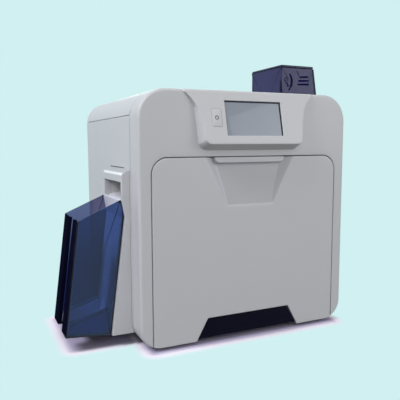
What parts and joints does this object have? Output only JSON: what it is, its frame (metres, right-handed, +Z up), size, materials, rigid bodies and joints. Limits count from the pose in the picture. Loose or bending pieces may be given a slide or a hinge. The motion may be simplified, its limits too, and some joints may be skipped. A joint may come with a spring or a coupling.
{
  "type": "id card printer",
  "caption": "Desktop reverse-transfer card printer with a drop-down front door, lifting top cover, touch-screen console, card hopper on top and card tray on its left side.",
  "frame": {"origin": "on the table, under the middle of the body", "axes": "+X to the right of the front, +Y from the front to the back, +Z up"},
  "size_m": [0.4332, 0.3235, 0.409],
  "materials": {
    "casing_plastic": "fine moulded texture, cool light grey",
    "inner_plastic": "smooth off-white moulding",
    "tray_plastic": "dark grey moulding",
    "hopper_plastic": "clear-tinted navy blue, polished",
    "plate_enamel": "near-black navy, satin",
    "feet_rubber": "matt black",
    "roller_rubber": "ground black rubber",
    "screen_glass": "polished cover glass",
    "steel": "zinc-plated sheet",
    "bright_steel": "ground and plated",
    "cassette_plastic": "grey-blue moulding",
    "spool_plastic": "dark moulding under the wound web",
    "film": "clear transfer film",
    "ribbon": "dark ink ribbon",
    "head_aluminium": "black-edged cast aluminium",
    "motor_paint": "black lacquer",
    "pinion_brass": "turned brass",
    "board": "green solder mask"
  },
  "bodies": {
    "casing": {"base_tray": "tray_plastic", "rubber_feet": "feet_rubber", "front_fascia": "casing_plastic", "left_side_cover": "casing_plastic", "right_side_cover": "casing_plastic", "rear_cover": "casing_plastic", "top_cover_hinge_pins": "bright_steel", "door_hinge_pins": "bright_steel", "door_latch_catches": "steel", "screen_glass": "screen_glass", "screen_module": "steel", "console_board": "board", "exit_housing": "casing_plastic", "exit_chute": "inner_plastic", "front_chassis_plate": "steel", "rear_chassis_plate": "steel", "chassis_spacers": "steel", "film_cassette": "cassette_plastic", "film_web": "film", "ribbon_cassette": "cassette_plastic", "ribbon_web": "ribbon", "drive_belt": "roller_rubber", "belt_motor": "motor_paint", "film_motor": "motor_paint", "ribbon_motor": "motor_paint", "gearbox_plate": "steel", "main_board": "board", "power_supply": "steel", "power_inlet": "tray_plastic", "power_switch": "tray_plastic", "cooling_fan": "tray_plastic", "casing_screws": "bright_steel"},
    "door": {"front_door": "casing_plastic", "door_liner": "inner_plastic", "plinth_plate": "plate_enamel"},
    "cover": {"top_cover": "casing_plastic"},
    "input_box": {"input_hopper": "hopper_plastic"},
    "input_lid": {"input_hopper_lid": "hopper_plastic"},
    "weight": {"card_weight": "tray_plastic"},
    "output_box": {"output_hopper": "hopper_plastic"},
    "button": {"power_button": "casing_plastic"},
    "rocker": {"power_rocker": "tray_plastic"},
    "flipper": {"card_flipper": "inner_plastic"},
    "fan_wheel": {"fan_rotor": "tray_plastic"},
    "pick_roller": {"feed_roller": "roller_rubber"},
    "head": {"print_head": "head_aluminium"},
    "drive_roller_right_body": {"drive_roller_right": "roller_rubber"},
    "drive_roller_left_body": {"drive_roller_left": "roller_rubber"},
    "pinch_roller_right_body": {"pinch_roller_right": "bright_steel"},
    "pinch_roller_left_body": {"pinch_roller_left": "bright_steel"},
    "motor_pulley_body": {"motor_pulley": "bright_steel"},
    "film_supply_spool_body": {"film_supply_spool": "spool_plastic"},
    "film_takeup_spool_body": {"film_takeup_spool": "spool_plastic"},
    "platen_roller_body": {"platen_roller": "roller_rubber"},
    "transfer_roller_body": {"transfer_roller": "bright_steel"},
    "backing_roller_body": {"backing_roller": "roller_rubber"},
    "film_pinion_body": {"film_pinion": "pinion_brass"},
    "ribbon_supply_spool_body": {"ribbon_supply_spool": "spool_plastic"},
    "ribbon_takeup_spool_body": {"ribbon_takeup_spool": "spool_plastic"},
    "ribbon_pinion_body": {"ribbon_pinion": "pinion_brass"}
  },
  "joints": [
    {"name": "front_door_hinge", "type": "hinge", "parent": "casing", "child": "door", "pos_m": [0, -0.142, 0.013], "axis": [1, 0, 0], "range_deg": [0, 90]},
    {"name": "top_cover_hinge", "type": "hinge", "parent": "casing", "child": "cover", "pos_m": [0, 0.151, 0.3255], "axis": [-1, 0, 0], "range_deg": [0, 70]},
    {"name": "input_hopper_lift", "type": "slide", "parent": "cover", "child": "input_box", "axis": [0, 0, 1], "range_m": [0, 0.06]},
    {"name": "input_hopper_lid_hinge", "type": "hinge", "parent": "input_box", "child": "input_lid", "pos_m": [0.1125, -0.012, 0.405], "axis": [-1, 0, 0], "range_deg": [0, 110]},
    {"name": "card_weight_slide", "type": "slide", "parent": "input_box", "child": "weight", "axis": [0, 0, 1], "range_m": [0, 0.06]},
    {"name": "output_hopper_lift", "type": "slide", "parent": "casing", "child": "output_box", "axis": [-0.18, 0, 0.9837], "range_m": [0, 0.016]},
    {"name": "power_button_press", "type": "slide", "parent": "casing", "child": "button", "axis": [0, 0.9736, -0.2283], "range_m": [0, 0.001], "stiffness_N_per_m": 400, "springref_m": -0.002},
    {"name": "power_rocker_tilt", "type": "hinge", "parent": "casing", "child": "rocker", "pos_m": [-0.078, 0.147, 0.044], "axis": [1, 0, 0], "range_deg": [0, 16]},
    {"name": "card_flipper_turn", "type": "hinge", "parent": "casing", "child": "flipper", "pos_m": [-0.08, -0.059, 0.292], "axis": [0, 1, 0], "continuous": true},
    {"name": "fan_spin", "type": "hinge", "parent": "casing", "child": "fan_wheel", "pos_m": [-0.088, 0.13, 0.236], "axis": [0, 1, 0], "continuous": true},
    {"name": "feed_roller_spin", "type": "hinge", "parent": "casing", "child": "pick_roller", "pos_m": [0.112, -0.059, 0.2897], "axis": [0, 1, 0], "continuous": true},
    {"name": "print_head_swing", "type": "hinge", "parent": "casing", "child": "head", "pos_m": [0.1, -0.059, 0.216], "axis": [0, 1, 0], "range_deg": [-6, 1.8]},
    {"name": "drive_roller_right_spin", "type": "hinge", "parent": "casing", "child": "drive_roller_right_body", "pos_m": [0.06, -0.059, 0.2834], "axis": [0, 1, 0], "continuous": true},
    {"name": "drive_roller_left_spin", "type": "hinge", "parent": "casing", "child": "drive_roller_left_body", "pos_m": [-0.034, -0.059, 0.2834], "axis": [0, 1, 0], "continuous": true},
    {"name": "pinch_roller_right_spin", "type": "hinge", "parent": "casing", "child": "pinch_roller_right_body", "pos_m": [0.06, -0.059, 0.2986], "axis": [0, 1, 0], "continuous": true},
    {"name": "pinch_roller_left_spin", "type": "hinge", "parent": "casing", "child": "pinch_roller_left_body", "pos_m": [-0.034, -0.059, 0.2986], "axis": [0, 1, 0], "continuous": true},
    {"name": "motor_pulley_spin", "type": "hinge", "parent": "casing", "child": "motor_pulley_body", "pos_m": [0.014, 0, 0.218], "axis": [0, 1, 0], "continuous": true},
    {"name": "film_supply_spin", "type": "hinge", "parent": "casing", "child": "film_supply_spool_body", "pos_m": [-0.092, -0.059, 0.092], "axis": [0, 1, 0], "continuous": true},
    {"name": "film_takeup_spin", "type": "hinge", "parent": "casing", "child": "film_takeup_spool_body", "pos_m": [-0.092, -0.059, 0.192], "axis": [0, 1, 0], "continuous": true},
    {"name": "platen_spin", "type": "hinge", "parent": "casing", "child": "platen_roller_body", "pos_m": [0.058, -0.059, 0.178], "axis": [0, 1, 0], "continuous": true},
    {"name": "transfer_roller_spin", "type": "hinge", "parent": "casing", "child": "transfer_roller_body", "pos_m": [0.01, -0.059, 0.2705], "axis": [0, 1, 0], "continuous": true},
    {"name": "backing_roller_spin", "type": "hinge", "parent": "casing", "child": "backing_roller_body", "pos_m": [0.01, -0.059, 0.3055], "axis": [0, 1, 0], "continuous": true},
    {"name": "film_pinion_spin", "type": "hinge", "parent": "casing", "child": "film_pinion_body", "pos_m": [-0.092, 0, 0.16585], "axis": [0, 1, 0], "continuous": true},
    {"name": "ribbon_supply_spin", "type": "hinge", "parent": "casing", "child": "ribbon_supply_spool_body", "pos_m": [0.118, -0.059, 0.236], "axis": [0, 1, 0], "continuous": true},
    {"name": "ribbon_takeup_spin", "type": "hinge", "parent": "casing", "child": "ribbon_takeup_spool_body", "pos_m": [0.118, -0.059, 0.12], "axis": [0, 1, 0], "continuous": true},
    {"name": "ribbon_pinion_spin", "type": "hinge", "parent": "casing", "child": "ribbon_pinion_body", "pos_m": [0.118, 0, 0.14615], "axis": [0, 1, 0], "continuous": true}
  ],
  "couplings": [
    {"joint": "drive_roller_left_spin", "follows": "drive_roller_right_spin", "ratio": 1},
    {"joint": "pinch_roller_right_spin", "follows": "drive_roller_right_spin", "ratio": -1.3333},
    {"joint": "pinch_roller_left_spin", "follows": "drive_roller_right_spin", "ratio": -1.3333},
    {"joint": "motor_pulley_spin", "follows": "drive_roller_right_spin", "ratio": 1.5},
    {"joint": "film_takeup_spin", "follows": "film_supply_spin", "ratio": 1.1538},
    {"joint": "platen_spin", "follows": "film_supply_spin", "ratio": 2.7273},
    {"joint": "transfer_roller_spin", "follows": "film_supply_spin", "ratio": 1.5},
    {"joint": "backing_roller_spin", "follows": "film_supply_spin", "ratio": -2.5},
    {"joint": "film_pinion_spin", "follows": "film_supply_spin", "ratio": -3.8462},
    {"joint": "ribbon_takeup_spin", "follows": "ribbon_supply_spin", "ratio": 1.2222},
    {"joint": "ribbon_pinion_spin", "follows": "ribbon_supply_spin", "ratio": -4.0741}
  ]
}
